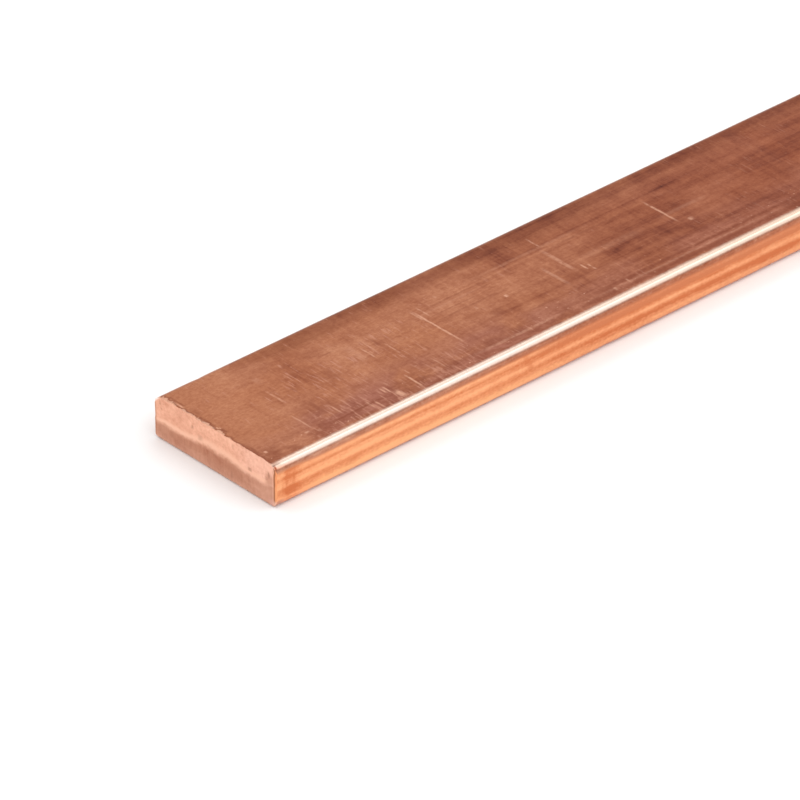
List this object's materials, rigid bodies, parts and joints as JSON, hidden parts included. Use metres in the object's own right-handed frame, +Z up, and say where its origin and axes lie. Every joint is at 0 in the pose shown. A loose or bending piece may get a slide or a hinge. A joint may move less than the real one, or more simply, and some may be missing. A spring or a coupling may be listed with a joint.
{
  "type": "copper flat bar",
  "caption": "Solid rectangular copper bar with rounded long edges, a sheared end and a sawn end, for use as an electrical conductor or as machining stock.",
  "frame": {"origin": "middle of the lower face, on the level surface that the bar lies on", "axes": "+X along the bar's length, away from its sheared end and towards its sawn end; +Y across its width; +Z up through its thickness"},
  "size_m": [0.3, 0.03, 0.008],
  "materials": {
    "copper": "bare copper, satin as drawn, lightly tarnished on the upper face"
  },
  "bodies": {
    "root": {"bar": "copper"}
  },
  "joints": []
}
